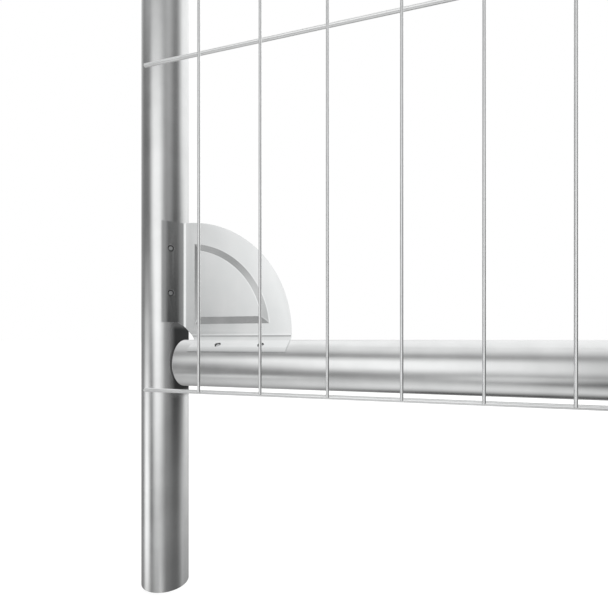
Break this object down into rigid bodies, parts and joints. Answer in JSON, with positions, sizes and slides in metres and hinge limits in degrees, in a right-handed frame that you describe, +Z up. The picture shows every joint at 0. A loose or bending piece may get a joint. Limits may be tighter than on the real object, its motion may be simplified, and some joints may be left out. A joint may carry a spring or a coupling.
{
  "type": "mesh fence panel",
  "caption": "Square top temporary fence panel: round tube frame with pressed corner plates and a welded wire mesh on one face, all galvanised.",
  "frame": {"origin": "on the ground, half way between the posts, in the plane of the tubes' axes", "axes": "+X along the panel, +Z up, the mesh on the -Y side"},
  "size_m": [3.5, 0.049, 2],
  "materials": {
    "galvanised_tube": "galvanised tube with a soft lengthwise sheen",
    "galvanised_sheet": "galvanised pressed sheet, satin",
    "galvanised_wire": "galvanised drawn wire",
    "weld_metal": "zinc-coated plug weld"
  },
  "bodies": {
    "root": {"bottom_rail": "galvanised_tube", "corner_plate_bottom_left": "galvanised_sheet", "corner_plate_bottom_right": "galvanised_sheet", "corner_plate_top_left": "galvanised_sheet", "corner_plate_top_right": "galvanised_sheet", "cross_wire_1": "galvanised_wire", "cross_wire_2": "galvanised_wire", "cross_wire_3": "galvanised_wire", "cross_wire_4": "galvanised_wire", "cross_wire_5": "galvanised_wire", "cross_wire_6": "galvanised_wire", "cross_wire_7": "galvanised_wire", "left_post": "galvanised_tube", "plug_welds_bottom_left": "weld_metal", "plug_welds_bottom_right": "weld_metal", "plug_welds_top_left": "weld_metal", "plug_welds_top_right": "weld_metal", "right_post": "galvanised_tube", "top_rail": "galvanised_tube", "upright_wires_01": "galvanised_wire", "upright_wires_02": "galvanised_wire", "upright_wires_03": "galvanised_wire", "upright_wires_04": "galvanised_wire", "upright_wires_05": "galvanised_wire", "upright_wires_06": "galvanised_wire", "upright_wires_07": "galvanised_wire", "upright_wires_08": "galvanised_wire", "upright_wires_09": "galvanised_wire", "upright_wires_10": "galvanised_wire", "upright_wires_11": "galvanised_wire", "upright_wires_12": "galvanised_wire", "upright_wires_13": "galvanised_wire", "upright_wires_14": "galvanised_wire", "upright_wires_15": "galvanised_wire", "upright_wires_16": "galvanised_wire", "upright_wires_17": "galvanised_wire", "upright_wires_18": "galvanised_wire", "upright_wires_19": "galvanised_wire", "upright_wires_20": "galvanised_wire", "upright_wires_21": "galvanised_wire", "upright_wires_22": "galvanised_wire", "upright_wires_23": "galvanised_wire", "upright_wires_24": "galvanised_wire", "upright_wires_25": "galvanised_wire", "upright_wires_26": "galvanised_wire", "upright_wires_27": "galvanised_wire", "upright_wires_28": "galvanised_wire", "upright_wires_29": "galvanised_wire", "upright_wires_30": "galvanised_wire"}
  },
  "joints": []
}
